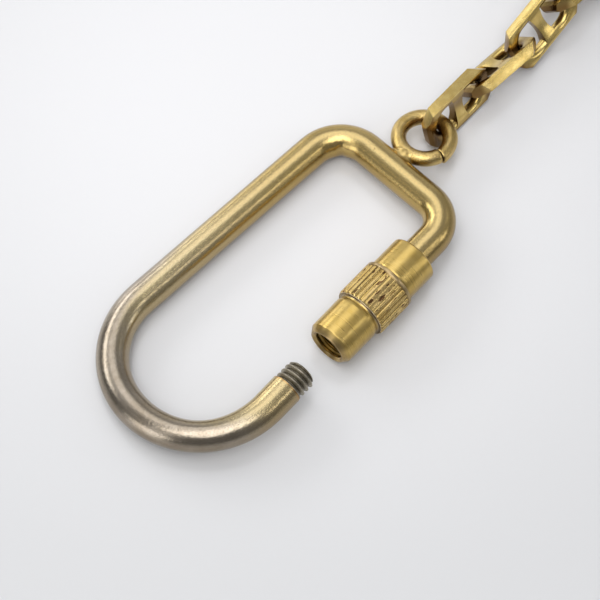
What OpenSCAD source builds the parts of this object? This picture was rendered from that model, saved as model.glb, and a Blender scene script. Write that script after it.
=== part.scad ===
// Screw-lock key holder: a ring bent from one wire, closed by a sliding knurled
// barrel, with an eye loop that carries a chain of studded anchor links.
// It lies on a table: X runs along the barrel towards the chain, Z is up, and the
// origin is the middle of the footprint on the table.

/* [Ring wire] */
// Diameter of the bent wire
wire_d = 4; // [3.6:0.1:4.4]
// Radius of the big bow, at the middle of the wire
bow_r = 10.5; // [10:0.1:12]
// Bare wire between the corner and the barrel, with the barrel drawn back
leg_bare_l = 3.13; // [2:0.01:8]
// Lean of the long side towards the barrel, in degrees
long_side_lean = 3.8; // [0:0.1:6]
// Lean of the cross side towards the bow at the barrel's end, in degrees
cross_side_lean = 3.6; // [0:0.1:6]
// Bend radius between the long side and the cross side
far_corner_r = 4.8; // [4:0.1:6]
// Bend radius between the cross side and the barrel's leg
near_corner_r = 4; // [3.4:0.1:4.6]

/* [Screw end] */
// Straight wire between the bow and the shoulder of the thread
shoulder_l = 3; // [2:0.1:4]
// Outside diameter of the screw thread
thread_d = 3.85; // [3.3:0.05:3.9]
// Length of the screw thread
thread_l = 2.85; // [2.4:0.05:3.2]
// Bevel at the tip of the thread
thread_bevel = 0.4; // [0.2:0.05:0.6]
// Opening between the tip of the thread and the barrel, where keys go in
mouth_gap = 4.2; // [4.1:0.05:4.6]

/* [Barrel] */
// Length of the barrel
barrel_l = 15.6; // [15.2:0.1:16.4]
// Diameter of the barrel beside the knurl
barrel_d = 6.1; // [5.9:0.05:6.5]
// How much thinner the barrel is in radius behind the bevel of its mouth
nose_taper = 0.075; // [0.025:0.025:0.2]
// Length of the bevel round the mouth
nose_bevel_l = 0.75; // [0.4:0.05:1]
// Width of the mouth's flat face, outside its countersink
mouth_rim = 0.175; // [0.1:0.025:0.3]
// Small bevel round the barrel's other end
tail_bevel = 0.15; // [0.05:0.05:0.3]
// How far the knurl's ridges stand out from the barrel
knurl_stand = 0.375; // [0.3:0.025:0.6]
// Length of the knurled band
knurl_l = 5.3; // [4.5:0.1:6]
// From the mouth to the knurled band
knurl_setback = 5.8; // [5:0.1:6.5]
// Number of ridges in the knurl
knurl_ridges = 29; // [20:1:36]
// Depth of the grooves between the ridges
knurl_depth = 0.22; // [0.1:0.02:0.3]
// Bevel at both ends of the knurled band
knurl_bevel = 0.2; // [0.1:0.05:0.3]

/* [Inside the barrel] */
// Room between the threaded bore and the stop collar, with the barrel drawn back
collar_room = 0.55; // [0.3:0.05:1.2]
// Countersink at the mouth of the threaded bore
countersink = 0.3; // [0.1:0.05:0.4]
// How far the stop collar stands out from the leg, as a share of the room in the barrel
collar_share = 0.42; // [0.35:0.01:0.48]
// Length of the stop collar
collar_l = 1; // [0.8:0.05:1.2]
// Diameter of the turned-down spigot that the collar is pressed on
spigot_d = 2.6; // [2:0.1:3]
// Length of the bush that guides the barrel on the leg
bush_l = 2; // [1.5:0.1:2.2]
// Wall of the bush, as a share of the room between the leg and the barrel's outside
bush_share = 0.58; // [0.52:0.01:0.65]
// Thickness of the lip that is rolled in over the bush
lip_t = 0.35; // [0.25:0.05:0.5]
// Radial play of every sliding or turning fit
fit_play = 0.05; // [0.03:0.01:0.07]
// Play along the barrel between parts that stop each other
end_play = 0.1; // [0.05:0.01:0.2]

/* [Eye loop] */
// Diameter of the eye loop's wire
eye_wire_d = 1.9; // [1.7:0.05:2]
// Radius of the eye loop, at the middle of its wire
eye_r = 3.15; // [3.1:0.05:3.4]
// Place of the eye loop along the cross side, from the ring's middle
eye_y = -0.6; // [-2:0.1:1]
// Tilt of the eye loop out of the ring's plane, its outer side down, in degrees
eye_tilt = 6; // [0:1:12]
// Depth that the eye loop is bedded in the solder, against the ring wire
eye_bed = 0.1; // [0.05:0.01:0.15]
// Direction of the loop's butt seam, in degrees
seam_angle = -105; // [-130:1:-80]
// Width of the butt seam
seam_gap = 0.12; // [0.05:0.01:0.3]
// Radius of the solder round the joint
solder_r = 1.45; // [1.3:0.05:1.6]

/* [Chain] */
// Number of links in the chain
link_count = 9; // [9:1:9]
// Length of a link
link_l = 11.3; // [11.1:0.05:11.6]
// Width of a link
link_w = 5.65; // [5.4:0.05:6]
// Thickness of a link
link_t = 1.55; // [1.45:0.05:1.6]
// Width of the bar at each end of a link
link_bar = 1.6; // [1.5:0.05:1.7]
// Width of the holes in a link
link_hole_w = 3.65; // [3.5:0.05:3.7]
// Rounding of the holes' edges
link_edge_r = 0.7; // [0.5:0.05:0.7]
// Length of the corner bevels along a link, at mid thickness
corner_l = 1.55; // [1.35:0.05:1.8]
// Angle of the corner bevels, in degrees
corner_angle = 42.6; // [38:0.2:50]
// Twist of the corner bevels, in degrees
corner_twist = 20; // [0:1:25]
// Bevel across the outer edges of the end bars
end_bevel = 0.4; // [0.3:0.05:0.45]
// Width of the stud where it meets the rails
stud_w = 1.9; // [1.6:0.05:2.2]
// How far each side of the stud is waisted
stud_waist = 0.25; // [0.1:0.05:0.35]
// How far each face of the stud is hollowed
stud_dip = 0.25; // [0.1:0.05:0.35]
// Play between the bars of two links
hook_play = 0.3; // [0.28:0.01:0.34]

/* [Hidden] */
$fn = 96;

// One overrun serves all cuts, and one overlap all parts of one wire
overrun = 1;
let_in = 0.05;
// Bending draws the wire thinner by this much of its radius
bend_draw = 0.01;

// Way in which each link lies on the table: its heading, the lean of its plate, the pitch
// of its far end, and how far it is pushed up to the one before, as a share of the play
link_headings = [0, -4, 2.5, -2, 2, -3, 3, -1, 2];
link_leans = [74, -48, 53, -46, 59, -46, 58, -46, 61];
link_pitches = [0, 0, 12, -11, 0, 0, 0, 0, 0];
slack_shares = [1, 1, 1, 1, 1.5, 1, 2, 1.5, 1, 1];
// Heading and lean of the ring at the chain's end
end_ring_heading = -2;
end_ring_lean = 155;

wire_r = wire_d / 2;
thread_r = thread_d / 2;
barrel_r = barrel_d / 2;
eye_wire_r = eye_wire_d / 2;

// The room between the leg and the barrel's outside is shared by the bush, the barrel's
// wall, the stop collar and the play of their fits
wall_room = barrel_r - wire_r - 2 * fit_play;
bush_r = wire_r + fit_play + bush_share * wall_room;
collar_r = wire_r + collar_share * wall_room;

// Places along the barrel's axis, from the middle of the bow
thread_tip_x = shoulder_l + thread_l;
mouth_x = thread_tip_x + mouth_gap;
barrel_top_x = mouth_x + barrel_l;
travel = thread_l + mouth_gap;
bush_x = barrel_top_x - lip_t - end_play / 2 - bush_l;
collar_x = bush_x - travel - end_play - collar_l;
tapped_l = collar_x - mouth_x - collar_room;

// The two straight sides, as headings that turn clockwise from the bow
long_heading = -long_side_lean;
cross_heading = -90 - cross_side_lean;
leg_heading = -180;
function along(heading, run) = run * [cos(heading), sin(heading)];
far_turn = long_heading - cross_heading;
near_turn = cross_heading - leg_heading;
far_tangent = far_corner_r * tan(far_turn / 2);
near_tangent = near_corner_r * tan(near_turn / 2);

// From the middle of the bow to the middle of the cross side
leg_start_x = barrel_top_x + leg_bare_l;
ring_l = leg_start_x + near_tangent + bow_r * tan(cross_side_lean);
bow_end = bow_r * [sin(long_side_lean), cos(long_side_lean)];
cross_run = (ring_l * sin(long_side_lean) - bow_r) / cos(long_side_lean - cross_side_lean);
far_corner = [ring_l, 0] + along(cross_heading, cross_run);
near_corner = [ring_l - bow_r * tan(cross_side_lean), -bow_r];

// The ring rests on its knurl and on the bow, so its plane leans a little
knurl_r = barrel_r + knurl_stand;
rest_lean = asin((knurl_r - wire_r) / (2 * bow_r));
ring_rise = wire_r + bow_r * sin(rest_lean);

// Eye loop, bedded on the outside of the cross side and tilted about the bed
cross_x = ring_l + eye_y * tan(cross_side_lean);
bed_reach = wire_r + eye_wire_r - eye_bed;
bed_rise = asin(eye_r * sin(eye_tilt) / bed_reach);
eye_x = cross_x + bed_reach * cos(bed_rise) + eye_r * cos(eye_tilt);
eye_drop = eye_r * sin(eye_tilt);
eye_far = [
    eye_x + eye_r * cos(eye_tilt),
    eye_y * cos(rest_lean) - eye_drop * sin(rest_lean),
    ring_rise - eye_y * sin(rest_lean) - eye_drop * cos(rest_lean)
];

// A link's hole ends at the bar, and the next link turns about the bar's middle
flank_l = link_l - 2 * corner_l;
hole_end = link_l / 2 - link_bar;
bar_middle = hole_end + link_bar / 2;
function hook_run(i) = hole_end - hook_play * slack_shares[i] - (i == 0 ? eye_wire_r : link_bar / 2);
stud_arc_r = (pow(link_hole_w / 2, 2) + pow(stud_waist, 2)) / (2 * stud_waist);
dip_arc_r = (pow(link_hole_w / 2, 2) + pow(stud_dip, 2)) / (2 * stud_dip);

// Chain: where each link is hooked, and where its middle lies
function plate_height(i) = link_w / 2 * abs(sin(link_leans[i])) + link_t / 2 * abs(cos(link_leans[i]));
function link_height(i) = plate_height(i) * cos(link_pitches[i])
                        + flank_l / 2 * abs(sin(link_pitches[i]));
function flat_of(p) = [p[0], p[1], 0];
function flat_step(i) = cos(link_pitches[i]) * [cos(link_headings[i]), sin(link_headings[i]), 0];
function step(i, run) = run * (flat_step(i) + [0, 0, sin(link_pitches[i])]);
function hook_point(i) = i == 0 ? eye_far : link_middle(i - 1) + step(i - 1, bar_middle);
function link_middle(i) = flat_of(hook_point(i)) + hook_run(i) * flat_step(i) + [0, 0, link_height(i)];

// Ring at the chain's end, round the last bar
end_ring_hook = hook_point(link_count);
end_ring_height = eye_r * sin(end_ring_lean) + eye_wire_r;
end_ring_run = eye_r - eye_wire_r - hook_play * slack_shares[link_count] - link_bar / 2;
end_ring_middle = flat_of(end_ring_hook)
                + end_ring_run * [cos(end_ring_heading), sin(end_ring_heading), 0]
                + [0, 0, end_ring_height];

// Footprint on the table, which centres the whole
low_x = -bow_r - wire_r;
high_x = end_ring_middle[0] + eye_r + eye_wire_r;
low_y = -bow_r * cos(rest_lean) - knurl_r;
high_y = bow_r * cos(rest_lean) + wire_r;
middle_x = (low_x + high_x) / 2;
middle_y = (low_y + high_y) / 2;

module centred() {
    translate([-middle_x, -middle_y, 0]) children();
}

module ring_place() {
    centred() translate([0, 0, ring_rise]) rotate([-rest_lean, 0, 0]) children();
}

// Something drawn along Z, laid along the barrel's axis with its foot at x
module on_barrel_axis(x) {
    translate([x, -bow_r, 0]) rotate([0, 90, 0]) children();
}

// A straight run, let into its neighbours at both ends
module wire_run(from, heading, run) {
    translate([from[0], from[1], 0]) rotate([0, 0, heading]) rotate([0, 90, 0])
        translate([0, 0, -let_in]) cylinder(h = run + 2 * let_in, r = wire_r);
}

// A clockwise bend that starts at a point with a heading, its wire drawn a little thinner
module wire_bend(from, heading, radius, turn) {
    translate([from[0], from[1], 0]) rotate([0, 0, heading]) translate([0, -radius, 0])
        rotate([0, 0, 90 - turn]) rotate_extrude(angle = turn)
            translate([radius, 0]) circle(wire_r - bend_draw);
}

module ring_wire() {
    long_from = bow_end;
    long_run = norm(far_corner - bow_end) - far_tangent;
    cross_from = far_corner + along(cross_heading, far_tangent);
    cross_length = norm(near_corner - far_corner) - far_tangent - near_tangent;
    leg_end_x = collar_x + collar_l;
    color("goldenrod") ring_place() union() {
        on_barrel_axis(-let_in) cylinder(h = shoulder_l + let_in, r = wire_r);
        on_barrel_axis(shoulder_l) cylinder(h = thread_l - thread_bevel, r = thread_r);
        on_barrel_axis(thread_tip_x - thread_bevel)
            cylinder(h = thread_bevel, r1 = thread_r, r2 = thread_r - thread_bevel);
        wire_bend([0, -bow_r], leg_heading, bow_r, 180 + long_side_lean);
        wire_run(long_from, long_heading, long_run);
        wire_bend(long_from + along(long_heading, long_run), long_heading, far_corner_r, far_turn);
        wire_run(cross_from, cross_heading, cross_length);
        wire_bend(cross_from + along(cross_heading, cross_length), cross_heading,
                  near_corner_r, near_turn);
        on_barrel_axis(leg_end_x) cylinder(h = leg_start_x - leg_end_x + let_in, r = wire_r);
        on_barrel_axis(collar_x) cylinder(h = collar_l, d = spigot_d);
    }
}

module stop_collar() {
    color("darkgoldenrod") ring_place() on_barrel_axis(collar_x) difference() {
        cylinder(h = collar_l, r = collar_r);
        translate([0, 0, -overrun]) cylinder(h = collar_l + 2 * overrun, d = spigot_d);
    }
}

module barrel_bush() {
    color("peru") ring_place() on_barrel_axis(bush_x) difference() {
        cylinder(h = bush_l, r = bush_r);
        translate([0, 0, -overrun]) cylinder(h = bush_l + 2 * overrun, r = wire_r + fit_play);
    }
}

// Outside of the barrel, as a radius against the distance from the mouth
module barrel_outline() {
    face_r = thread_r + fit_play + countersink + mouth_rim;
    polygon([
        [0, 0],
        [face_r, 0],
        [barrel_r - nose_taper, nose_bevel_l],
        [barrel_r, knurl_setback],
        [barrel_r, barrel_l - tail_bevel],
        [barrel_r - tail_bevel, barrel_l],
        [0, barrel_l]
    ]);
}

// Inside of the barrel: threaded bore, chamber for the collar, seat of the bush, lip
module barrel_inside() {
    tapped_r = thread_r + fit_play;
    chamber_r = collar_r + fit_play;
    seat_r = bush_r + fit_play;
    seat_end = barrel_l - lip_t;
    seat_start = seat_end - bush_l - end_play;
    polygon([
        [0, -overrun],
        [tapped_r + countersink + overrun, -overrun],
        [tapped_r + countersink, 0],
        [tapped_r, countersink],
        [tapped_r, tapped_l],
        [chamber_r, tapped_l],
        [chamber_r, seat_start],
        [seat_r, seat_start],
        [seat_r, seat_end],
        [wire_r + 2 * fit_play, seat_end],
        [wire_r + 2 * fit_play, barrel_l + overrun],
        [0, barrel_l + overrun]
    ]);
}

// Straight ridges round the barrel, with both ends of the band bevelled
module knurled_band() {
    pitch_angle = 360 / knurl_ridges;
    crest_share = 0.5;
    root_r = knurl_r - knurl_depth;
    crest_angle = pitch_angle * crest_share;
    translate([0, 0, knurl_setback]) intersection() {
        linear_extrude(knurl_l) polygon([for (i = [0 : knurl_ridges - 1], side = [0 : 2])
            side == 2
                ? root_r * [cos((i + 0.5) * pitch_angle), sin((i + 0.5) * pitch_angle)]
                : knurl_r * [cos(i * pitch_angle + (side - 0.5) * crest_angle),
                             sin(i * pitch_angle + (side - 0.5) * crest_angle)]]);
        rotate_extrude() polygon([
            [0, 0],
            [knurl_r - knurl_bevel, 0],
            [knurl_r, knurl_bevel],
            [knurl_r, knurl_l - knurl_bevel],
            [knurl_r - knurl_bevel, knurl_l],
            [0, knurl_l]
        ]);
    }
}

module barrel() {
    color("gold") ring_place() on_barrel_axis(mouth_x) difference() {
        union() {
            rotate_extrude() barrel_outline();
            knurled_band();
        }
        rotate_extrude() barrel_inside();
    }
}

// A loop of thin wire with a butt seam, in the XY plane
module wire_loop(seam) {
    seam_turn = seam_gap / eye_r * 180 / PI;
    rotate([0, 0, seam + seam_turn / 2]) rotate_extrude(angle = 360 - seam_turn)
        translate([eye_r, 0]) circle(eye_wire_r);
}

// The ring wire's cross side alone, to bed the eye loop and the solder on
module cross_side() {
    cross_length = norm(near_corner - far_corner) - far_tangent - near_tangent;
    wire_run(far_corner + along(cross_heading, far_tangent), cross_heading, cross_length);
}

module tilted_eye() {
    translate([eye_x, eye_y, 0]) rotate([0, eye_tilt, 0]) wire_loop(seam_angle);
}

module eye_loop() {
    color("khaki") ring_place() difference() {
        tilted_eye();
        cross_side();
    }
}

module solder_joint() {
    bed_x = cross_x + wire_r * cos(bed_rise);
    bed_z = wire_r * sin(bed_rise);
    color("darkkhaki") ring_place() difference() {
        translate([bed_x, eye_y, bed_z]) sphere(solder_r);
        cross_side();
        tilted_eye();
    }
}

// Section through the side of a link's hole: the wall, rounded to both faces
module hole_side() {
    half_w = link_hole_w / 2;
    half_t = link_t / 2;
    difference() {
        translate([0, -half_t - overrun]) square([half_w + link_edge_r, link_t + 2 * overrun]);
        for (face = [-1, 1])
            translate([half_w + link_edge_r, face * (half_t - link_edge_r)]) circle(link_edge_r);
        translate([half_w, link_edge_r - half_t])
            square([link_edge_r + overrun, link_t - 2 * link_edge_r]);
    }
}

// One hole of a link: a straight stretch from the stud, and a round end at the bar
module link_hole() {
    arc_x = hole_end - link_hole_w / 2;
    intersection() {
        union() {
            translate([arc_x, 0, 0]) rotate_extrude() hole_side();
            rotate([90, 0, 90]) linear_extrude(arc_x) {
                hole_side();
                mirror([1, 0, 0]) hole_side();
            }
        }
        translate([stud_w / 2 - stud_waist + stud_arc_r, 0, -link_t / 2 - overrun])
            cylinder(h = link_t + 2 * overrun, r = stud_arc_r);
    }
}

// Side view of a link: a bar with bevelled ends
module link_side_view() {
    half_l = link_l / 2;
    half_t = link_t / 2;
    polygon([
        [-half_l, end_bevel - half_t],
        [end_bevel - half_l, -half_t],
        [half_l - end_bevel, -half_t],
        [half_l, end_bevel - half_t],
        [half_l, half_t - end_bevel],
        [half_l - end_bevel, half_t],
        [end_bevel - half_l, half_t],
        [-half_l, half_t - end_bevel]
    ]);
}

// What is cut off one corner of a link
module corner_cut() {
    reach = link_l / 2;
    translate([flank_l / 2, link_w / 2, 0]) rotate([0, 0, -corner_angle])
        rotate([-corner_twist, 0, 0]) translate([-reach, 0, -reach])
            cube([2 * reach, reach, 2 * reach]);
}

module anchor_link() {
    difference() {
        rotate([90, 0, 0]) translate([0, 0, -link_w / 2]) linear_extrude(link_w) link_side_view();
        for (end = [0, 1]) mirror([end, 0, 0]) link_hole();
        for (side = [0, 1], end = [0, 1]) mirror([0, side, 0]) mirror([end, 0, 0]) corner_cut();
        for (face = [-1, 1])
            translate([-stud_w, 0, face * (link_t / 2 - stud_dip + dip_arc_r)])
                rotate([0, 90, 0]) cylinder(h = 2 * stud_w, r = dip_arc_r);
    }
}

module chain_link(number) {
    i = number - 1;
    color(i % 2 == 0 ? "gold" : "khaki") centred() translate(link_middle(i))
        rotate([0, 0, link_headings[i]]) rotate([0, -link_pitches[i], 0])
            rotate([link_leans[i], 0, 0]) anchor_link();
}

module end_ring() {
    color("goldenrod") centred() translate(end_ring_middle)
        rotate([0, 0, end_ring_heading]) rotate([end_ring_lean, 0, 0]) wire_loop(seam_angle);
}

ring_wire();
stop_collar();
barrel_bush();
barrel();
eye_loop();
solder_joint();
chain_link(1);  // chain_link_1
chain_link(2);  // chain_link_2
chain_link(3);  // chain_link_3
chain_link(4);  // chain_link_4
chain_link(5);  // chain_link_5
chain_link(6);  // chain_link_6
chain_link(7);  // chain_link_7
chain_link(8);  // chain_link_8
chain_link(9);  // chain_link_9
end_ring();
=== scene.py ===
import math
from contextlib import contextmanager

import bmesh
import bpy
from mathutils import Matrix, Vector


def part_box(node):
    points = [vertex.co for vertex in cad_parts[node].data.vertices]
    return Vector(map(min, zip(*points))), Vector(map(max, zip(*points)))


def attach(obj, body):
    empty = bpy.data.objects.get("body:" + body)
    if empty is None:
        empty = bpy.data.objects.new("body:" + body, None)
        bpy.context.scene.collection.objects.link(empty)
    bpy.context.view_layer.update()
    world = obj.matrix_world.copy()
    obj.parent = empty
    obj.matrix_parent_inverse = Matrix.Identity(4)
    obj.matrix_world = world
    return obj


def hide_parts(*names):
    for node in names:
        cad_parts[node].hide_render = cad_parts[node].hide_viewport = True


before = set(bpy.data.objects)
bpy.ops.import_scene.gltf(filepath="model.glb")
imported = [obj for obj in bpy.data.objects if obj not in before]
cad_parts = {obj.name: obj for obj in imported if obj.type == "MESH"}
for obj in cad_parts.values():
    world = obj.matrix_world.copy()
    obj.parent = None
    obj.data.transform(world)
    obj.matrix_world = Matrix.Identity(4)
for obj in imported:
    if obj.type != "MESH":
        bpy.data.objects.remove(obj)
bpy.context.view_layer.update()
print("frame loaded")

mm = 0.001  # pieces are drawn in mm, then laid in the frame in metres
ringSizes = {
    "wireR": 2.0,
    "bowR": 10.5,
    "length": 33.197,  # bow's centre to the cross side
    "longLean": 3.8,  # degrees
    "crossLean": 3.6,
    "farR": 4.8,  # bend between the long side and the cross side
    "nearR": 4.0,  # bend between the cross side and the leg
    "shoulder": 3.0,  # bow's centre to the thread
    "thread": 2.85,
    "gap": 4.2,  # open mouth
    "drawn": 0.01,  # wire drawn thinner in the bends
}

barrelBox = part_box("barrel")
axisY = (barrelBox[0].y + barrelBox[1].y) / 2 / mm
axisZ = (barrelBox[0].z + barrelBox[1].z) / 2 / mm
mouthX = ringSizes["shoulder"] + ringSizes["thread"] + ringSizes["gap"]
restLean = math.asin((axisZ - ringSizes["wireR"]) / (2 * ringSizes["bowR"]))
ringPlace = (  # the ring's own plane, its origin at the bow's centre
    Matrix.Translation((barrelBox[0].x / mm - mouthX, axisY, axisZ))
    @ Matrix.Rotation(-restLean, 4, "X")
    @ Matrix.Translation((0, ringSizes["bowR"], 0))
)
axisPlace = ringPlace @ Matrix.Translation((0, -ringSizes["bowR"], 0)) @ Matrix.Rotation(math.pi / 2, 4, "Y")


def put(tree, kind, settings=None, **inputs):  # inputs by name, with _ for a space, or by place as i0, i1
    made = tree.nodes.new(kind)
    for key, value in (settings or {}).items():
        setattr(made, key, value)
    for key, value in inputs.items():
        if key[0] == "i" and key[1:].isdigit():
            socket = made.inputs[int(key[1:])]
        else:
            socket = made.inputs[key.replace("_", " ")]
        if isinstance(value, bpy.types.NodeSocket):
            tree.links.new(value, socket)
        else:
            socket.default_value = value
    return made


def sums(tree, how, a, b=0.0, c=0.0, clamp=False):
    return put(tree, "ShaderNodeMath", {"operation": how, "use_clamp": clamp}, i0=a, i1=b, i2=c).outputs[0]


def times(tree, a, b):
    return sums(tree, "MULTIPLY", a, b)


def scaled(tree, value, by, plus):
    return sums(tree, "MULTIPLY_ADD", value, by, plus)


def vector(tree, how, a, b, output=0):
    return put(tree, "ShaderNodeVectorMath", {"operation": how}, i0=a, i1=b).outputs[output]


def split(tree, value):
    return put(tree, "ShaderNodeSeparateXYZ", None, i0=value).outputs


def joined(tree, x, y, z):
    return put(tree, "ShaderNodeCombineXYZ", None, i0=x, i1=y, i2=z).outputs[0]


def stretched(tree, where, by):
    return vector(tree, "MULTIPLY", where, by)


def noise(tree, where, size, detail, rough):
    return put(tree, "ShaderNodeTexNoise", None, Vector=where, Scale=size, Detail=detail, Roughness=rough).outputs[0]


def spread(tree, value, low, high, toLow=0.0, toHigh=1.0):
    return put(tree, "ShaderNodeMapRange", {"interpolation_type": "SMOOTHSTEP"}, i0=value, i1=low, i2=high,
               i3=toLow, i4=toHigh).outputs[0]


def beside(tree, value, line, low, high, share=1.0):  # share by the distance from a line, on both its sides
    away = sums(tree, "ABSOLUTE", sums(tree, "SUBTRACT", value, line))
    return spread(tree, away, low, high, 0.0, share)


def tint(tree, share, a, b, how="MIX"):
    made = tree.nodes.new("ShaderNodeMix")
    made.data_type = "RGBA"
    made.blend_type = how
    for socket, value in ((made.inputs[0], share), (made.inputs[6], a), (made.inputs[7], b)):
        if isinstance(value, bpy.types.NodeSocket):
            tree.links.new(value, socket)
        elif isinstance(value, tuple):
            socket.default_value = (*value, 1.0)
        else:
            socket.default_value = value
    return made.outputs[2]


def patchy(tree, blotch, dull, bright):
    return tint(tree, spread(tree, blotch, 0.3, 0.7), dull, bright)


def placeInMm(tree):
    return stretched(tree, put(tree, "ShaderNodeTexCoord").outputs["Object"], (1000, 1000, 1000))


def wrapPlace(tree):  # in cm, along a wire and round it
    return put(tree, "ShaderNodeUVMap", {"uv_map": "wrap"}).outputs[0]


def normalUp(tree):
    return split(tree, put(tree, "ShaderNodeTexCoord").outputs["Normal"])[2]


def newMaterial(name):
    made = bpy.data.materials.new(name)
    made.use_nodes = True
    made.node_tree.nodes.clear()
    return made, made.node_tree


def finishMetal(tree, colour, roughness, height, bumpDepth):
    normal = put(tree, "ShaderNodeBump", None, Strength=1.0, Distance=bumpDepth * mm, Height=height).outputs[0]
    shader = put(tree, "ShaderNodeBsdfPrincipled", None, Base_Color=colour, Roughness=roughness, Metallic=1.0,
                 Normal=normal)
    put(tree, "ShaderNodeOutputMaterial", None, Surface=shader.outputs[0])


def show(name, mesh):
    made = bpy.data.objects.new(name, mesh)
    bpy.context.scene.collection.objects.link(made)
    return made


def smoothAll(mesh):
    mesh.polygons.foreach_set("use_smooth", [True] * len(mesh.polygons))


def newPiece(name, points, faces, place, material, uvs=None):
    mesh = bpy.data.meshes.new(name)
    mesh.from_pydata([(place @ Vector(point)) * mm for point in points], [], faces)
    if uvs:
        layer = mesh.uv_layers.new(name="wrap")
        for loop, uv in zip(layer.data, uvs):
            loop.uv = uv
    mesh.materials.append(material)
    smoothAll(mesh)
    mesh.update()
    return show(name, mesh)


def withModifiers(piece):
    bpy.context.view_layer.update()
    return bpy.data.meshes.new_from_object(piece.evaluated_get(bpy.context.evaluated_depsgraph_get()))


@contextmanager
def edited(mesh):
    edit = bmesh.new()
    edit.from_mesh(mesh)
    yield edit
    edit.to_mesh(mesh)
    edit.free()


def fillHoles(edit):
    bmesh.ops.holes_fill(edit, edges=[e for e in edit.edges if e.is_boundary], sides=0)


def sharpen(piece, degrees):  # smooth, but for edges sharper than this
    with edited(piece.data) as edit:
        bmesh.ops.recalc_face_normals(edit, faces=edit.faces)
        for edge in edit.edges:
            if len(edge.link_faces) == 2:
                edge.smooth = edge.calc_face_angle(0) < math.radians(degrees)


def wrapFaces(rows, columns, closed=True):  # quads over a grid of points, and each corner's row and column
    faces, corners = [], []
    across = columns if closed else columns - 1
    for i in range(rows - 1):
        for j in range(across):
            k = (j + 1) % columns
            faces.append((i * columns + j, i * columns + k, (i + 1) * columns + k, (i + 1) * columns + j))
            corners += [(i, j), (i, j + 1), (i + 1, j + 1), (i + 1, j)]
    return faces, corners


def flatDirection(angle):
    return Vector((math.cos(angle), math.sin(angle)))


goldTone = {"brown": (0.15, 0.085, 0.03), "dark": (0.07, 0.04, 0.018)}


def hollowDirtAndShade(tree, reach, low, high, share):  # darker where a surface is shut in, within reach mm: grime, and painted shade from ambient occlusion
    openness = put(tree, "ShaderNodeAmbientOcclusion", {"samples": 8}, Distance=reach * mm).outputs["AO"]
    return spread(tree, openness, high, low, 0.0, share)


wireTone = {
    "pale": (0.61, 0.505, 0.305),  # plating near the bow
    "rich": (0.60, 0.435, 0.155),  # plating at the far end
    "gold": (0.61, 0.475, 0.23),  # specks in it
    "rubbedPale": (0.42, 0.345, 0.235),
    "rubbedRich": (0.33, 0.235, 0.10),
    "paintedHighlight": (0.66, 0.56, 0.34),  # painted highlight: paler tone along the wire's top
    "nickel": (0.43, 0.375, 0.305),
    "dullNickel": (0.35, 0.295, 0.225),
    "grain": (0.84, 0.83, 0.81),
    # painted shade: multiplier for the wire's sides and underside
    "side": (0.55, 0.50, 0.42),
    "tip": (0.50, 0.26, 0.07),  # plating's edge at the thread
}


def platedWire():  # satin brass plating, rubbed through to smooth grey nickel round the bow
    tone = wireTone
    made, tree = newMaterial("platedWire")
    where = placeInMm(tree)
    x, y = split(tree, vector(tree, "SUBTRACT", where, tuple(ringPlace @ Vector((0, 0, 0)))))[:2]
    wrap = wrapPlace(tree)
    run, around = split(tree, wrap)[:2]
    blotch = noise(tree, where, 0.35, 4, 0.6)
    speck = noise(tree, where, 7.0, 5, 0.7)
    mottle = noise(tree, where, 4.5, 2, 0.5)
    scratchA = noise(tree, stretched(tree, wrap, (3, 90, 1)), 6.0, 4, 0.7)
    scratchB = noise(tree, stretched(tree, wrap, (26, 7, 1)), 9.0, 3, 0.6)

    outer = beside(tree, around, 0.80, 0.26, 0.06)
    # painted shade: share of darkening, rising away from the wire's top line round its sides and underside
    side = beside(tree, around, 0.63, 0.15, 0.40)
    edge = scaled(tree, y, 0.22, times(tree, x, -1.0))  # where the plating ends
    edge = scaled(tree, blotch, 4.0, edge)
    edge = scaled(tree, speck, 2.0, edge)
    edge = scaled(tree, outer, 10.0, sums(tree, "ADD", edge, -3.5))
    worn = times(tree, spread(tree, edge, 0.0, 10.5), spread(tree, run, 0.25, 0.95))
    far = spread(tree, scaled(tree, blotch, 6.0, x), 6.0, 30.0)
    far = sums(tree, "MAXIMUM", far, spread(tree, run, 0.75, 0.35, 0.0, 0.4))

    gold = tint(tree, far, tone["pale"], tone["rich"])
    gold = tint(tree, spread(tree, speck, 0.35, 0.7, 0.0, 0.5), gold, tone["gold"])
    rubbed = tint(tree, far, tone["rubbedPale"], tone["rubbedRich"])
    gold = tint(tree, spread(tree, around, 0.73, 0.83, 0.0, 0.65), gold, rubbed)
    # painted highlight: upward-facing surface tinted paler
    gold = tint(tree, spread(tree, normalUp(tree), 0.86, 0.98, 0.0, 0.22), gold, tone["paintedHighlight"])
    nickel = patchy(tree, blotch, tone["dullNickel"], tone["nickel"])
    colour = tint(tree, worn, gold, nickel)
    colour = tint(tree, spread(tree, speck, 0.42, 0.62, 0.0, 0.9), colour, tone["grain"], "MULTIPLY")
    # painted shade: sides and underside multiplied darker
    colour = tint(tree, times(tree, side, 0.85), colour, tone["side"], "MULTIPLY")
    # grime and painted shade: browner where the wire is shut in
    colour = tint(tree, hollowDirtAndShade(tree, 1.0, 0.25, 0.8, 0.75), colour, goldTone["brown"])
    colour = tint(tree, spread(tree, run, 0.03, 0.01, 0.0, 0.5), colour, tone["tip"])
    pits = spread(tree, noise(tree, where, 3.2, 2, 0.5), 0.70, 0.78, 0.0, 0.5)
    colour = tint(tree, pits, colour, goldTone["brown"])

    height = sums(tree, "ADD", times(tree, scratchA, 0.15), mottle)
    height = scaled(tree, speck, 0.15, height)
    height = scaled(tree, scratchB, 0.15, height)
    finishMetal(tree, colour, scaled(tree, mottle, 0.12, 0.17), height, 0.017)
    return made


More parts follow.
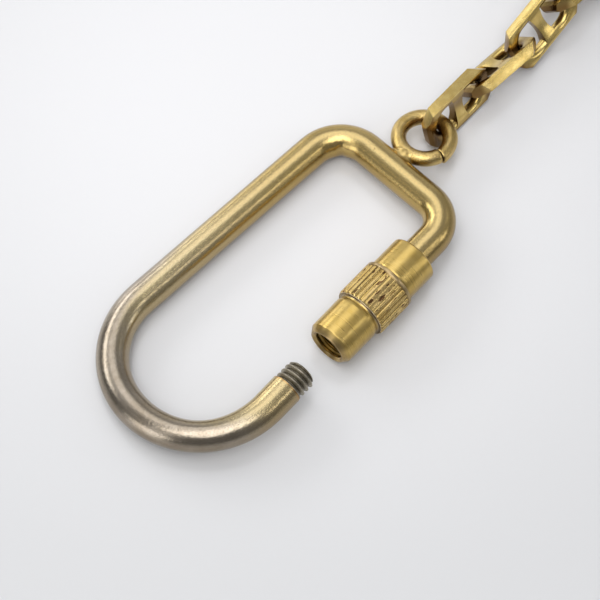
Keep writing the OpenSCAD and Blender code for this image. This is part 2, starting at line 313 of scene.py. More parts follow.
turnedTone = {
    "bright": (0.68, 0.49, 0.165),
    "dull": (0.56, 0.385, 0.105),
    "mouth": (0.36, 0.26, 0.16),
    "rim": (0.42, 0.32, 0.20),  # plain rim at the knurl's end
    "edge": (0.62, 0.56, 0.46),  # painted highlight: a pale grey line on the knurl's first edge
    # painted shade: brown-dark tone for downward faces
    "flank": (0.25, 0.165, 0.05),
}


def turnedBrass():  # lathe-turned, with fine rings round it and a brown mouth
    tone = turnedTone
    made, tree = newMaterial("turnedBrass")
    where = placeInMm(tree)
    run = split(tree, vector(tree, "SUBTRACT", where, tuple(axisPlace @ Vector((0, 0, mouthX)))))[0]
    around = noise(tree, stretched(tree, where, (0.02, 0.35, 0.35)), 1.0, 2, 0.5)
    rings = noise(tree, joined(tree, run, times(tree, around, 0.3), 0.0), 7.0, 1, 0.5)
    blotch = noise(tree, where, 0.7, 4, 0.6)
    speck = noise(tree, where, 9.0, 4, 0.7)
    colour = patchy(tree, blotch, tone["dull"], tone["bright"])
    colour = tint(tree, spread(tree, rings, 0.35, 0.65, 0.0, 0.35), colour, tone["bright"])
    colour = tint(tree, spread(tree, scaled(tree, blotch, 0.8, run), 1.25, 0.5, 0.0, 0.55), colour, tone["mouth"])
    colour = tint(tree, beside(tree, run, 10.88, 0.42, 0.22, 0.7), colour, tone["rim"])
    # painted highlight: pale grey line along the knurl's first edge
    colour = tint(tree, beside(tree, run, 5.82, 0.14, 0.05, 0.7), colour, tone["edge"])
    # painted shade: downward-facing surfaces darkened to brown
    colour = tint(tree, spread(tree, normalUp(tree), 0.6, 0.05, 0.0, 0.6), colour, tone["flank"])
    colour = tint(tree, spread(tree, speck, 0.70, 0.8, 0.0, 0.3), colour, goldTone["brown"])
    # grime and painted shade: darker where the barrel is shut in
    colour = tint(tree, hollowDirtAndShade(tree, 0.45, 0.3, 0.9, 0.9), colour, goldTone["dark"])
    finishMetal(tree, colour, scaled(tree, rings, 0.10, 0.24), rings, 0.015)
    return made


knurlTone = {
    "dull": (0.54, 0.37, 0.12),
    "bright": (0.68, 0.50, 0.20),
    "washed": (0.60, 0.43, 0.175),  # round the worn spot
    "pits": (0.13, 0.06, 0.025),
    "spotRun": 8.0,  # worn spot, mm from the barrel's mouth
    "spotTurn": 202,  # and degrees round it
    "spotR": 3.4,
}


def knurledBrass():  # pressed ridges, bright on top with some pits, dark in the grooves from grime and painted shade
    tone = knurlTone
    made, tree = newMaterial("knurledBrass")
    where = placeInMm(tree)
    blotch = noise(tree, where, 0.7, 4, 0.6)
    speck = noise(tree, where, 6.0, 4, 0.7)
    spot = (
        axisPlace
        @ Matrix.Translation((0, 0, mouthX + tone["spotRun"]))
        @ Matrix.Rotation(math.radians(tone["spotTurn"]), 4, "Z")
        @ Vector((tone["spotR"], 0, 0))
    )
    washed = spread(tree, vector(tree, "DISTANCE", where, tuple(spot), "Value"), 2.4, 1.1)
    pits = noise(tree, stretched(tree, where, (0.45, 1.3, 1.3)), 1.8, 2, 0.5)
    pits = spread(tree, scaled(tree, washed, 0.06, pits), 0.63, 0.66, 0.0, 0.95)
    # grime and painted shade in the grooves, less on the worn spot
    grooveDirtAndShade = times(tree, hollowDirtAndShade(tree, 0.3, 0.3, 0.97, 1.0), scaled(tree, washed, -0.75, 1.0))
    colour = patchy(tree, blotch, tone["dull"], tone["bright"])
    colour = tint(tree, washed, colour, tone["washed"])
    colour = tint(tree, pits, colour, tone["pits"])
    colour = tint(tree, grooveDirtAndShade, colour, goldTone["dark"])
    height = scaled(tree, pits, -0.5, times(tree, speck, 0.03))
    finishMetal(tree, colour, scaled(tree, speck, 0.14, 0.2), height, 0.02)
    return made


def threadSteel():
    made, tree = newMaterial("threadSteel")
    speck = noise(tree, placeInMm(tree), 5.0, 5, 0.7)
    colour = patchy(tree, speck, (0.26, 0.23, 0.17), (0.50, 0.46, 0.37))
    # grime and painted shade: near black in the thread's roots
    colour = tint(tree, hollowDirtAndShade(tree, 0.35, 0.35, 0.9, 0.9), colour, (0.05, 0.037, 0.022))
    finishMetal(tree, colour, scaled(tree, speck, 0.2, 0.28), speck, 0.03)
    return made


def loopBrass():  # rubbed wire of the eye loop and the end ring
    made, tree = newMaterial("loopBrass")
    where = placeInMm(tree)
    blotch = noise(tree, where, 0.8, 4, 0.6)
    speck = noise(tree, where, 6.0, 5, 0.7)
    drawn = noise(tree, stretched(tree, wrapPlace(tree), (2, 60, 1)), 5.0, 3, 0.7)
    stain = spread(tree, sums(tree, "ADD", blotch, speck), 1.06, 1.3, 0.0, 0.7)
    colour = patchy(tree, blotch, (0.55, 0.385, 0.125), (0.68, 0.51, 0.215))
    colour = tint(tree, stain, colour, (0.30, 0.17, 0.07))
    # grime and painted shade: browner where the loop is shut in
    colour = tint(tree, hollowDirtAndShade(tree, 1.0, 0.2, 0.75, 0.85), colour, goldTone["brown"])
    finishMetal(tree, colour, scaled(tree, drawn, 0.12, 0.14), sums(tree, "ADD", speck, drawn), 0.018)
    return made


linkTone = {
    "dull": (0.63, 0.455, 0.145),
    "bright": (0.74, 0.56, 0.215),
    # painted shade, with some grime: tone for downward faces
    "flank": (0.27, 0.17, 0.06),
    # painted shade with some grime: tone for the end facets
    "ends": (0.22, 0.13, 0.045),
}


def linkBrass():  # polished flats, brown in the holes from grime and painted shade; downward faces and end facets darkened as painted shade with some grime
    tone = linkTone
    made, tree = newMaterial("linkBrass")
    where = placeInMm(tree)
    inLink = put(tree, "ShaderNodeAttribute", {"attribute_name": "inLink"}).outputs["Vector"]
    x, y = split(tree, inLink)[:2]
    up = normalUp(tree)
    blotch = noise(tree, where, 0.9, 4, 0.6)
    speck = noise(tree, where, 6.0, 5, 0.7)
    brushed = noise(tree, stretched(tree, inLink, (2, 8, 30)), 1.5, 3, 0.6)
    colour = patchy(tree, blotch, tone["dull"], tone["bright"])
    # painted shade with some grime: downward faces turned brown
    colour = tint(tree, spread(tree, up, 0.5, 0.1, 0.0, 0.9), colour, tone["flank"])
    # painted shade with some grime: end facets that face sideways or down are darkened
    ends = times(tree, spread(tree, sums(tree, "ABSOLUTE", x), 4.0, 4.8), spread(tree, up, 0.75, 0.3))
    colour = tint(tree, ends, colour, tone["ends"])
    inside = spread(tree, sums(tree, "ABSOLUTE", y), 2.0, 1.5)
    # grime and painted shade: browner where shut in, most inside the holes
    holeDirtAndShade = times(tree, hollowDirtAndShade(tree, 2.2, 0.25, 0.9, 1.0), scaled(tree, inside, 0.35, 0.65))
    holeDirtAndShade = times(tree, holeDirtAndShade, spread(tree, speck, 0.1, 0.6, 0.6, 1.0))
    colour = tint(tree, holeDirtAndShade, colour, goldTone["brown"])
    height = scaled(tree, speck, 0.3, times(tree, brushed, 0.6))
    finishMetal(tree, colour, scaled(tree, brushed, 0.14, 0.17), height, 0.009)
    return made


def solderBrass():
    made, tree = newMaterial("solderBrass")
    blotch = noise(tree, placeInMm(tree), 1.5, 4, 0.6)
    colour = patchy(tree, blotch, (0.52, 0.37, 0.13), (0.66, 0.49, 0.20))
    # grime and painted shade: browner in the hollow between the wires
    colour = tint(tree, hollowDirtAndShade(tree, 1.0, 0.2, 0.75, 0.85), colour, goldTone["brown"])
    finishMetal(tree, colour, scaled(tree, blotch, 0.15, 0.25), blotch, 0.03)
    return made


def insideBrass():
    made, tree = newMaterial("insideBrass")
    speck = noise(tree, placeInMm(tree), 3.0, 4, 0.6)
    colour = tint(tree, speck, (0.32, 0.22, 0.09), (0.56, 0.42, 0.19))
    finishMetal(tree, colour, scaled(tree, speck, 0.2, 0.25), speck, 0.02)
    return made


materials = {
    "plated": platedWire(), "turned": turnedBrass(), "knurled": knurledBrass(), "thread": threadSteel(),
    "loop": loopBrass(), "link": linkBrass(), "solder": solderBrass(), "inside": insideBrass(),
}
print("materials made")

ringLook = {
    "round": 72,  # points round the wire
    "step": 0.35,  # mm between rows
    "legEnd": 16.1,  # where the leg ends in the barrel
    "pinch": 0.28,  # crease inside the far corner
    "pinchAt": 0.02,  # share of the bend past its middle
    "pinchWide": 0.08,
    "thinned": 0.012,  # inside of each bend
    "rubbed": 0.28,  # worn off inside the bow
    "rubbedAt": -138,  # degrees round the bow
    "rubbedWide": 30,
    "bowReach": 12,  # rows nearer than this to the bow's centre are the bow's
}


def ringPath():  # rows of middle, heading, bend share and corner share, from the shoulder round to the leg's end
    size = ringSizes
    spot = Vector((size["shoulder"], -size["bowR"]))
    heading = -math.pi
    rows = []

    def straight(run):
        nonlocal spot
        count = max(2, int(run / ringLook["step"]))
        go = flatDirection(heading)
        for i in range(count):
            rows.append((spot + go * run * i / count, heading, 0.0, 0.0))
        spot = spot + go * run

    def bend(radius, turn, tag):
        nonlocal spot, heading
        middle = spot + flatDirection(heading - math.pi / 2) * radius
        count = max(6, int(radius * turn / ringLook["step"]))
        for i in range(count):
            now = heading - turn * i / count
            share = i / count
            place = middle + flatDirection(now + math.pi / 2) * radius
            rows.append((place, now, min(1, 8 * share, 8 * (1 - share)), tag * (share - 0.5)))
        heading -= turn
        spot = middle + flatDirection(heading + math.pi / 2) * radius

    longLean, crossLean = math.radians(size["longLean"]), math.radians(size["crossLean"])
    crossRun = (size["length"] * math.sin(longLean) - size["bowR"]) / math.cos(longLean - crossLean)
    cross = -math.pi / 2 - crossLean
    far = Vector((size["length"] + crossRun * math.cos(cross), crossRun * math.sin(cross)))
    near = Vector((size["length"] - size["bowR"] * math.tan(crossLean), -size["bowR"]))
    bowEnd = Vector((size["bowR"] * math.sin(longLean), size["bowR"] * math.cos(longLean)))
    farTurn, nearTurn = -longLean - cross, cross + math.pi
    farTangent, nearTangent = size["farR"] * math.tan(farTurn / 2), size["nearR"] * math.tan(nearTurn / 2)
    straight(size["shoulder"])
    bend(size["bowR"], math.pi + longLean, 0.0)
    straight((far - bowEnd).length - farTangent)
    bend(size["farR"], farTurn, 1.0)
    straight((near - far).length - farTangent - nearTangent)
    bend(size["nearR"], nearTurn, 0.0)
    straight(spot.x - ringLook["legEnd"])
    rows.append((spot, heading, 0.0, 0.0))
    return rows


def ringWire():
    look = ringLook
    rows = ringPath()
    count = look["round"]
    points, runs, run = [], [], 0.0
    before = None
    for spot, heading, bent, corner in rows:
        run += (spot - before).length if before is not None else 0.0
        before = spot
        runs.append(run)
        inner = flatDirection(heading - math.pi / 2)
        radius = ringSizes["wireR"] - ringSizes["drawn"] * (bent > 0)
        crease = rubbed = 0.0
        if corner:
            crease = look["pinch"] * math.exp(-abs((corner - look["pinchAt"]) / look["pinchWide"]) ** 1.6)
        if spot.length < look["bowReach"]:
            facing = math.degrees(math.atan2(spot.y, spot.x))
            rubbed = look["rubbed"] * math.exp(-((facing - look["rubbedAt"]) / look["rubbedWide"]) ** 2)
        for j in range(count):
            turn = 2 * math.pi * j / count - math.pi / 2
            inward = max(0.0, math.cos(turn)) ** 3
            r = radius - crease * inward - look["thinned"] * bent * inward - rubbed * max(0.0, math.cos(turn))
            points.append((*(spot + inner * r * math.cos(turn)), r * math.sin(turn)))
    faces, corners = wrapFaces(len(rows), count)
    uvs = [(runs[i] / 10, j / count * 4 * math.pi / 10) for i, j in corners]
    for end, row in ((0, 0), (1, len(rows) - 1)):
        ring = [row * count + j for j in range(count)]
        faces.append(tuple(ring if end else ring[::-1]))
        uvs += [(runs[row] / 10, k / count) for k in range(count)]
    made = newPiece("ringWire", points, faces, ringPlace, materials["plated"], uvs)
    sharpen(made, 50)
    return made


wire = ringWire()
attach(wire, "ring")
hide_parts("ring_wire")
print("ring wire made")

threadLook = {
    "outside": 1.925,
    "root": 1.52,
    "pitch": 0.7,
    "length": 2.85,
    "bevel": 0.4,
    "round": 120,
    "along": 130,
    "runOut": 0.35,  # shallower crests at the shoulder
}


def newGroup(name, inputs):
    tree = bpy.data.node_groups.new(name, "GeometryNodeTree")
    for key, kind in inputs.items():
        tree.interface.new_socket(key, in_out="INPUT", socket_type="NodeSocket" + kind)
    tree.interface.new_socket("Geometry", in_out="OUTPUT", socket_type="NodeSocketGeometry")
    return tree, put(tree, "NodeGroupInput").outputs


def finishGroup(tree, geometry, material):
    coated = put(tree, "GeometryNodeSetMaterial", None, Geometry=geometry, Material=material)
    put(tree, "NodeGroupOutput", None, i0=coated.outputs[0])


def threadNodes():  # a grid wrapped round, its radius a helix
    tree, given = newGroup("threadNodes", {"Outside": "Float", "Root": "Float", "Pitch": "Float", "Length": "Float",
                                           "Bevel": "Float", "Material": "Material"})
    grid = put(tree, "GeometryNodeMeshGrid", None, Size_X=1.0, Size_Y=1.0, Vertices_X=threadLook["along"],
               Vertices_Y=threadLook["round"] + 1)
    here = split(tree, put(tree, "GeometryNodeInputPosition").outputs[0])
    along = sums(tree, "ADD", here[0], 0.5)
    around = sums(tree, "ADD", here[1], 0.5)
    run = times(tree, along, given["Length"])
    turns = sums(tree, "SUBTRACT", sums(tree, "DIVIDE", run, given["Pitch"]), around)
    wave = sums(tree, "ABSOLUTE", sums(tree, "SUBTRACT", sums(tree, "FRACT", turns), 0.5))
    flank = sums(tree, "MULTIPLY_ADD", wave, -2.6, 1.2, clamp=True)
    left = sums(tree, "SUBTRACT", given["Length"], run)
    tip = sums(tree, "SUBTRACT", given["Outside"], sums(tree, "SUBTRACT", given["Bevel"], left))
    depth = sums(tree, "SUBTRACT", given["Outside"], given["Root"])
    radius = scaled(tree, flank, depth, given["Root"])
    runOut = times(tree, sums(tree, "SUBTRACT", threadLook["runOut"], run, clamp=True), 1.4)
    radius = sums(tree, "MAXIMUM", radius, sums(tree, "SUBTRACT", radius, runOut))
    radius = sums(tree, "MINIMUM", radius, tip)
    angle = times(tree, around, 2 * math.pi)
    spot = joined(tree, times(tree, radius, sums(tree, "COSINE", angle)),
                  times(tree, radius, sums(tree, "SINE", angle)), run)
    moved = put(tree, "GeometryNodeSetPosition", None, Geometry=grid.outputs[0], Position=spot)
    welded = put(tree, "GeometryNodeMergeByDistance", None, Geometry=moved.outputs[0], Distance=0.0005)
    real = put(tree, "GeometryNodeRealizeInstances", None, Geometry=welded.outputs[0])
    finishGroup(tree, real.outputs[0], given["Material"])
    return tree


def setInput(modifier, name, value):
    for item in modifier.node_group.interface.items_tree:
        if item.item_type == "SOCKET" and item.in_out == "INPUT" and item.name == name:
            modifier[item.identifier] = value
            return
    raise KeyError(name)


def bake(name, tree, inputs, place):  # runs a node group on an empty mesh, keeps the result as a plain mesh
    maker = show(name + "Maker", bpy.data.meshes.new(name + "Maker"))
    modifier = maker.modifiers.new("nodes", "NODES")
    modifier.node_group = tree
    for key, value in inputs.items():
        setInput(modifier, key, value)
    mesh = withModifiers(maker)
    mesh.name = name
    maker.modifiers.remove(modifier)
    bpy.data.objects.remove(maker)
    for vertex in mesh.vertices:
        vertex.co = (place @ vertex.co) * mm
    smoothAll(mesh)
    return show(name, mesh)


thread = bake("screwThread", threadNodes(), {
    "Outside": threadLook["outside"], "Root": threadLook["root"], "Pitch": threadLook["pitch"],
    "Length": threadLook["length"], "Bevel": threadLook["bevel"], "Material": materials["thread"],
}, axisPlace @ Matrix.Translation((0, 0, ringSizes["shoulder"])))
with edited(thread.data) as ends:
    fillHoles(ends)
sharpen(thread, 60)
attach(thread, "ring")
print("screw thread made")

barrelLook = {
    "length": 15.6,
    "round": 144,
    "faceR": 2.45,
    "noseR": 2.975,
    "noseBevel": 0.75,
    "coveR": 2.86,  # hollow before the knurl
    "knurlAt": 5.8,
    "knurlL": 5.3,
    "knurlR": 3.425,
    "knurlRoot": 3.2,
    "ridges": 29,
    "wornSide": 202,  # degrees, where the ridges are low
    "chatter": 0.008,
    "rim": 0.42,  # plain rim at the knurl's end
    "rimR": 3.415,
    "bodyR": 3.05,
    "tailBevel": 0.15,
    "lipR": 2.1,  # rolled over the bush
    "lipT": 0.35,
    "seatR": 2.65,
    "bushL": 2.1,
    "chamberR": 2.45,
    "tappedL": 4.5,
    "tappedDeep": 0.3,
    "boreR": 1.975,
    "countersink": 0.3,
    "edgeR": 0.07,
}


def rounded(profile, radius, steps=4):  # a profile of radius and run, with its corners rounded
    made = [profile[0]]
    for a, b, c in zip(profile, profile[1:], profile[2:]):
        a, b, c = Vector(a), Vector(b), Vector(c)
        reach = min(radius, (a - b).length / 2.2, (c - b).length / 2.2)
        start, end = b + (a - b).normalized() * reach, b + (c - b).normalized() * reach
        for i in range(steps + 1):
            t = i / steps
            made.append(tuple(start * (1 - t) ** 2 + b * 2 * t * (1 - t) + end * t ** 2))
    made.append(profile[-1])
    return made


def turned(name, profile, count, place, material):  # a closed profile turned about Z
    points = []
    for r, z in profile:
        for j in range(count):
            turn = 2 * math.pi * j / count
            points.append((r * math.cos(turn), r * math.sin(turn), z))
    lengths = [0.0]
    for a, b in zip(profile, profile[1:] + profile[:1]):
        lengths.append(lengths[-1] + math.dist(a, b))
    faces, uvs = [], []
    for i in range(len(profile)):
        n = (i + 1) % len(profile)
        here, there = lengths[i] / 10, lengths[i + 1] / 10
        for j in range(count):
            k = (j + 1) % count
            faces.append((i * count + j, i * count + k, n * count + k, n * count + j))
            uvs += [(here, j / count), (here, (j + 1) / count), (there, (j + 1) / count), (there, j / count)]
    made = newPiece(name, points, faces, place, material, uvs)
    sharpen(made, 40)
    return made


def barrelProfile():
    s = barrelLook
    knurlEnd = s["knurlAt"] + s["knurlL"]
    outside = [
        (s["boreR"] + s["countersink"], 0), (s["faceR"], 0), (s["noseR"], s["noseBevel"]),
        (s["coveR"] + 0.14, s["knurlAt"] - 0.75), (s["coveR"], s["knurlAt"] - 0.25),
        (s["coveR"] + 0.05, s["knurlAt"]), (s["knurlRoot"] + 0.1, s["knurlAt"]),
        (s["knurlRoot"], s["knurlAt"] + 0.3), (s["knurlRoot"], knurlEnd - s["rim"] - 0.12),
        (s["rimR"], knurlEnd - s["rim"]), (s["rimR"], knurlEnd - 0.06), (s["rimR"] - 0.06, knurlEnd),
        (s["bodyR"] - 0.06, knurlEnd), (s["bodyR"], knurlEnd + 0.35),
        (s["bodyR"], s["length"] - s["tailBevel"]), (s["bodyR"] - s["tailBevel"], s["length"]),
    ]
    seatEnd = s["length"] - s["lipT"]
    bushEnd = seatEnd - s["bushL"]
    inside = [(s["lipR"], s["length"]), (s["lipR"], seatEnd), (s["seatR"], seatEnd), (s["seatR"], bushEnd),
              (s["chamberR"], bushEnd), (s["chamberR"], s["tappedL"]), (s["boreR"], s["tappedL"])]
    half = threadLook["pitch"] / 2
    run = s["tappedL"]
    while run > s["countersink"] + half:
        inside += [(s["boreR"], run - 0.1), (s["boreR"] + s["tappedDeep"], run - half), (s["boreR"], run - 0.6)]
        run -= threadLook["pitch"]
    inside += [(s["boreR"], s["countersink"])]
    return rounded(outside, s["edgeR"]) + inside


barrel = turned("barrelBody", barrelProfile(), barrelLook["round"],
                axisPlace @ Matrix.Translation((0, 0, mouthX)), materials["turned"])
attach(barrel, "barrel")
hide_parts("barrel")
print("barrel made")

ridgeLook = {"halfWide": 0.30, "rows": 40, "endBevel": 0.2, "foot": 0.12, "overlap": 0.05}


def ridgeMesh():  # one ridge along Z, its foot at x = 0, with bevelled ends
    s, look = barrelLook, ridgeLook
    wide, rows, foot = look["halfWide"], look["rows"], look["foot"]
    long = s["knurlL"] - s["rim"] + look["overlap"]
    points = []
    for i in range(rows):
        z = long * i / (rows - 1)
        low = max(0.0, 1 - min(z, 2 * (long - z)) / look["endBevel"])
        top = s["knurlR"] - s["knurlRoot"] - look["endBevel"] * low
        for y, x in ((-wide - 0.07, -foot), (-wide, 0.03), (-wide * 0.62, top * 0.8), (-wide * 0.3, top), (0, top),
                     (wide * 0.3, top), (wide * 0.62, top * 0.8), (wide, 0.03), (wide + 0.07, -foot)):
            points.append((x, y, z))
    faces = wrapFaces(rows, 9, closed=False)[0]
    faces += [tuple(range(8, -1, -1)), tuple(range((rows - 1) * 9, rows * 9))]
    mesh = bpy.data.meshes.new("ridge")
    mesh.from_pydata(points, [], faces)
    return show("ridge", mesh)


def knurlNodes():  # one ridge set round a circle, each a little different
    tree, given = newGroup("knurlNodes", {"Ridge": "Object", "Ridges": "Int", "Foot Radius": "Float",
                                          "Chatter": "Float", "Worn Side": "Float", "Material": "Material"})
    ridge = put(tree, "GeometryNodeObjectInfo", None, Object=given["Ridge"])
    circle = put(tree, "GeometryNodeMeshCircle", None, Vertices=given["Ridges"], Radius=given["Foot Radius"])
    index = put(tree, "GeometryNodeInputIndex").outputs[0]
    turn = sums(tree, "DIVIDE", times(tree, index, 2 * math.pi), given["Ridges"])
    size = put(tree, "FunctionNodeRandomValue", {"data_type": "FLOAT_VECTOR"}, i0=(0.85, 0.8, 1.0),
               i1=(1.0, 1.12, 1.0), Seed=7).outputs[0]
    toWorn = sums(tree, "COSINE", sums(tree, "SUBTRACT", turn, given["Worn Side"]))
    size = stretched(tree, size, joined(tree, spread(tree, toWorn, 0.84, 0.985, 1.0, 0.15), 1.0, 1.0))
    placed = put(tree, "GeometryNodeInstanceOnPoints", None, Points=circle.outputs[0],
                 Instance=ridge.outputs["Geometry"], Rotation=joined(tree, 0.0, 0.0, turn), Scale=size)
    real = put(tree, "GeometryNodeRealizeInstances", None, Geometry=placed.outputs[0])
    here = put(tree, "GeometryNodeInputPosition").outputs[0]
    rough = put(tree, "ShaderNodeTexNoise", None, Vector=stretched(tree, here, (2.2, 2.2, 1.3)), Scale=2.0, Detail=3.0)
    outward = put(tree, "ShaderNodeVectorMath", {"operation": "NORMALIZE"},
                  i0=stretched(tree, here, (1.0, 1.0, 0.0))).outputs[0]
    push = times(tree, spread(tree, rough.outputs[0], 0.35, 0.6, -1.0, 0.0), given["Chatter"])
    shift = put(tree, "ShaderNodeVectorMath", {"operation": "SCALE"}, i0=outward, Scale=push).outputs[0]
    moved = put(tree, "GeometryNodeSetPosition", None, Geometry=real.outputs[0], Offset=shift)
    finishGroup(tree, moved.outputs[0], given["Material"])
    return tree


ridge = ridgeMesh()
knurl = bake("knurlRidges", knurlNodes(), {
    "Ridge": ridge, "Ridges": barrelLook["ridges"], "Foot Radius": barrelLook["knurlRoot"],
    "Chatter": barrelLook["chatter"], "Worn Side": math.radians(barrelLook["wornSide"]),
    "Material": materials["knurled"],
}, axisPlace @ Matrix.Translation((0, 0, mouthX + barrelLook["knurlAt"])))
bpy.data.objects.remove(ridge)
sharpen(knurl, 30)
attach(knurl, "barrel")
print("knurl made")

loopLook = {
    "radius": 3.15,
    "wireR": 0.95,
    "seam": -105,  # degrees
    "seamGap": 0.12,
    "kick": 0.22,  # the cut end stands out by this
    "kickReach": 0.12,  # over this share of the loop
    "endBevel": 0.06,
    "round": 40,
    "rows": 200,
}


def wireLoop(name, place):  # a bent loop whose cut end stands out a little from the other
    s = loopLook
    gap = math.degrees(s["seamGap"] / s["radius"])
    start, sweep = math.radians(s["seam"] + gap / 2), math.radians(360 - gap)
    points = []
    for i in range(s["rows"]):
        share = i / (s["rows"] - 1)
        out = flatDirection(start + sweep * share)
        kick = s["kick"] * max(0.0, 1 - share / s["kickReach"]) ** 2
        end = min(share, 1 - share) * s["radius"] * sweep
        r = s["wireR"] - max(0.0, s["endBevel"] - end)
        for j in range(s["round"]):
            a = 2 * math.pi * j / s["round"]
            side = s["radius"] + kick + r * math.cos(a)
            points.append((out.x * side, out.y * side, r * math.sin(a)))
    faces, corners = wrapFaces(s["rows"], s["round"])
    uvs = [(i / s["rows"] * 2, j / s["round"] * 0.6) for i, j in corners]
    faces = [f[::-1] for f in faces]
    last = (s["rows"] - 1) * s["round"]
    faces += [tuple(range(s["round"])), tuple(range(last + s["round"] - 1, last - 1, -1))]
    uvs = [uv for k in range(0, len(uvs), 4) for uv in uvs[k:k + 4][::-1]] + [(0.1, 0.1)] * (2 * s["round"])
    made = newPiece(name, points, faces, place, materials["loop"], uvs)
    sharpen(made, 40)
    return made


filletLook = {"reach": 4.6, "grain": 0.1, "smooth": 55, "bead": 1.15}


def solderFillet():  # the two wires near their joint, melted together, so only the hollow between them shows
    low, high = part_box("solder_joint")
    joint = (low + high) / 2
    whole = bmesh.new()
    for source in (wire, eyeLoop):
        edit = bmesh.new()
        edit.from_mesh(source.data)
        away = [v for v in edit.verts if (v.co - joint).length > filletLook["reach"] * mm]
        bmesh.ops.delete(edit, geom=away, context="VERTS")
        fillHoles(edit)
        part = bpy.data.meshes.new("part")
        edit.to_mesh(part)
        edit.free()
        whole.from_mesh(part)
        bpy.data.meshes.remove(part)
    bmesh.ops.create_icosphere(whole, subdivisions=3, radius=filletLook["bead"] * mm, matrix=Matrix.Translation(joint))
    mesh = bpy.data.meshes.new("solderFillet")
    whole.to_mesh(mesh)
    whole.free()
    made = show("solderFillet", mesh)
    melt = made.modifiers.new("melt", "REMESH")
    melt.mode = "VOXEL"
    melt.voxel_size = filletLook["grain"] * mm
    ease = made.modifiers.new("ease", "SMOOTH")
    ease.factor, ease.iterations = 0.5, filletLook["smooth"]
    done = withModifiers(made)
    made.modifiers.clear()
    made.data = done
    done.materials.clear()
    done.materials.append(materials["solder"])
    smoothAll(done)
    done.name = "solderFillet"
    return made


eyeTilt = math.radians(6)
eyeLow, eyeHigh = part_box("eye_loop")
eyeSpot = (eyeLow + eyeHigh) / 2 / mm
eyeSpot.x = eyeHigh.x / mm - loopLook["radius"] * math.cos(eyeTilt) - loopLook["wireR"]
eyePlace = Matrix.Translation(eyeSpot) @ Matrix.Rotation(-restLean, 4, "X") @ Matrix.Rotation(eyeTilt, 4, "Y")
eyeLoop = wireLoop("eyeLoop", eyePlace)
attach(eyeLoop, "ring")
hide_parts("eye_loop")

fillet = solderFillet()
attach(fillet, "ring")
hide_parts("solder_joint")

endRingLook = {"heading": -2, "lean": 155}
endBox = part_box("end_ring")
endPlace = (
    Matrix.Translation((endBox[0] + endBox[1]) / 2 / mm)
    @ Matrix.Rotation(math.radians(endRingLook["heading"]), 4, "Z")
    @ Matrix.Rotation(math.radians(endRingLook["lean"]), 4, "X")
)
endRing = wireLoop("endRing", endPlace)
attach(endRing, "end_ring")
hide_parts("end_ring")
print("loops made")

linkLook = {
    "headings": [0, -4, 2.5, -2, 2, -3, 3, -1, 2],  # degrees
    "leans": [74, -48, 53, -46, 59, -46, 58, -46, 61],
    "pitches": [0, 0, 12, -11, 0, 0, 0, 0, 0],
    "bevel": 0.06,
    "bevelAngle": 28,
}


def dressed(node, name):  # a copy of a link's own shape, merged, with its sharp edges bevelled
    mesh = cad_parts[node].data.copy()
    made = show(name, mesh)
    with edited(mesh) as edit:
        bmesh.ops.remove_doubles(edit, verts=edit.verts, dist=2e-6)
        bmesh.ops.dissolve_limit(edit, angle_limit=math.radians(0.6), verts=edit.verts, edges=edit.edges)
    mesh.materials.clear()
    mesh.materials.append(materials["link"])
    smoothAll(mesh)
    cut = made.modifiers.new("cut", "BEVEL")
    cut.width = linkLook["bevel"] * mm
    cut.segments = 3
    cut.limit_method = "ANGLE"
    cut.angle_limit = math.radians(linkLook["bevelAngle"])
    done = withModifiers(made)
    made.modifiers.remove(cut)
    made.data = done
    done.name = name
    return made


for number in range(1, 10):
    node = f"chain_link_{number}"
    link = dressed(node, f"link{number}")
    low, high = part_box(node)
    toLink = (
        Matrix.Translation((low + high) / 2)
        @ Matrix.Rotation(math.radians(linkLook["headings"][number - 1]), 4, "Z")
        @ Matrix.Rotation(math.radians(-linkLook["pitches"][number - 1]), 4, "Y")
        @ Matrix.Rotation(math.radians(linkLook["leans"][number - 1]), 4, "X")
    ).inverted()
    spots = link.data.attributes.new("inLink", "FLOAT_VECTOR", "POINT")
    for vertex, spot in zip(link.data.vertices, spots.data):
        spot.vector = (toLink @ vertex.co) / mm
    sharpen(link, 40)
    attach(link, f"link_{number}")
    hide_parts(node)
print("links made")

for node in ("stop_collar", "barrel_bush"):  # these stay as the frame has them
    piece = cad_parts[node]
    piece.data.materials.clear()
    piece.data.materials.append(materials["inside"])

floorLook = {
    "half": 0.6 / mm,
    # painted pool of light: floor colour near its centre, and far from it
    "near": (0.885, 0.885, 0.90),
    "far": (0.69, 0.695, 0.705),
    "paintedPoolCentre": (-20, 20, 0),  # mm, centre of a painted pool of light that gets darker away from there
    "paintedPoolFalloff": (9.5, 76.5),
}
middle = ringPlace @ Vector((15, 0, 0)) * mm


def paleFloor():
    made, tree = newMaterial("paleFloor")
    where = placeInMm(tree)
    away = vector(tree, "DISTANCE", where, floorLook["paintedPoolCentre"], "Value")
    away = scaled(tree, noise(tree, where, 1.5, 4, 0.6), 3.0, away)
    # painted pool of light: colour fades from near to far
    colour = tint(tree, spread(tree, away, *floorLook["paintedPoolFalloff"]), floorLook["near"], floorLook["far"])
    shader = put(tree, "ShaderNodeBsdfPrincipled", None, Base_Color=colour, Roughness=0.55, Metallic=0.0,
                 Coat_Weight=0.9, Coat_Roughness=0.13, Coat_IOR=1.45)
    put(tree, "ShaderNodeOutputMaterial", None, Surface=shader.outputs[0])
    return made


half = floorLook["half"]
floor = newPiece("floor", [(-half, -half, 0), (half, -half, 0), (half, half, 0), (-half, half, 0)], [(0, 1, 2, 3)],
                 Matrix.Identity(4), paleFloor())

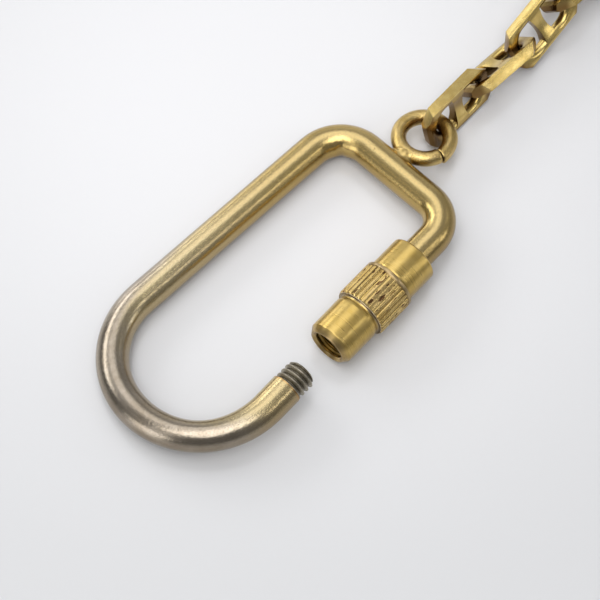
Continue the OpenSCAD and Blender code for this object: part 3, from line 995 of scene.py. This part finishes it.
scene = bpy.context.scene
scene.view_settings.view_transform = "Standard"
world = bpy.data.worlds.new("studio")
scene.world = world
world.use_nodes = True
world.node_tree.nodes.clear()
sky = world.node_tree
toward = put(sky, "ShaderNodeTexCoord").outputs["Generated"]
roomLook = {
    "walls": 0.20,
    "tint": (1.0, 1.0, 1.015, 1.0),
    "patches": [  # heading, height, full part and edge in degrees, then strength
        (52, 63, 10, 26, 1.25),  # pale ceiling behind
        (75, 30, 5, 15, 0.60),  # and lower down
        (93, 43, 2, 5, 1.5),  # small lamp behind
        (103, 58, 6, 22, 0.30),  # ceiling behind
        (150, 43, 4, 10, 0.45),  # small lamp on the left
        (173, 14, 14, 20, 1.9),  # window on the left
        (176, 44, 7, 13, 0.9),  # its upper pane
        (42, 2, 8, 38, 0.42),  # pale wall behind on the right
        (76, 2, 6, 13, 1.9),  # bright strip along its foot
        (0, 30, 10, 85, 0.15),  # right side
        (-66, 42, 2, 6, 3.6),  # lamp in front
        (-17, 31, 3, 9, 0.35),  # small lamp on the right
    ],
}


def facing(heading, height):
    heading, height = math.radians(heading), math.radians(height)
    return Vector((math.cos(heading) * math.cos(height), math.sin(heading) * math.cos(height), math.sin(height)))


def glow(heading, height, inner, outer, strength):
    near = vector(sky, "DOT_PRODUCT", toward, tuple(facing(heading, height)), "Value")
    return spread(sky, near, math.cos(math.radians(outer)), math.cos(math.radians(inner)), 0.0, strength)


light = roomLook["walls"]
for patch in roomLook["patches"]:
    light = sums(sky, "ADD", glow(*patch), light)
room = put(sky, "ShaderNodeBackground", None, Color=roomLook["tint"], Strength=light)
put(sky, "ShaderNodeOutputWorld", None, Surface=room.outputs[0])

lampLook = {
    "top": {"offset": (-0.20, -0.125, 0.70), "size": (0.50, 0.54), "power": 2.55},  # metres and watts
    "back": {"heading": 99, "height": 31, "away": 0.34, "size": (0.30, 0.10), "power": 0.29},
    "chain": {"heading": -66, "height": 23, "away": 0.16, "size": (0.045, 0.045), "power": 0.0125},
}


def softLight(name, look, aim):
    lamp = bpy.data.lights.new(name, "AREA")
    lamp.shape = "RECTANGLE"
    lamp.size, lamp.size_y = look["size"]
    lamp.energy = look["power"]
    made = bpy.data.objects.new(name, lamp)
    if "offset" in look:  # level, shining straight down
        made.location = aim + Vector(look["offset"])
    else:
        made.location = aim + look["away"] * facing(look["heading"], look["height"])
        made.rotation_euler = (aim - made.location).to_track_quat("-Z", "Y").to_euler()
    bpy.context.scene.collection.objects.link(made)


chainMiddle = (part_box("chain_link_2")[0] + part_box("chain_link_2")[1]) / 2
softLight("topLight", lampLook["top"], middle)
softLight("backLight", lampLook["back"], middle)
softLight("chainLight", lampLook["chain"], chainMiddle)

cameraLook = {
    "lens": 142.8,
    "sensor": 36.0,
    "shift": 20 / 600,
    "right": (0.6684, -0.7418, -0.0554),  # in the ring's plane
    "up": (0.6724, 0.5707, 0.4712),
    "back": (-0.3179, -0.3522, 0.8803),
    "spot": (-77.9, -100.8, 246.5),
}
lens = bpy.data.cameras.new("camera")
lens.lens, lens.sensor_width, lens.shift_x = cameraLook["lens"], cameraLook["sensor"], cameraLook["shift"]
lens.clip_start, lens.clip_end = 0.02, 5.0
lens.dof.use_dof = False
camera = bpy.data.objects.new("camera", lens)
turn = ringPlace.to_3x3() @ Matrix([cameraLook["right"], cameraLook["up"], cameraLook["back"]]).transposed()
placed = turn.to_quaternion().to_matrix().to_4x4()
placed.translation = (ringPlace @ Vector(cameraLook["spot"])) * mm
camera.matrix_world = placed
scene.collection.objects.link(camera)
scene.camera = camera
print("stage made")
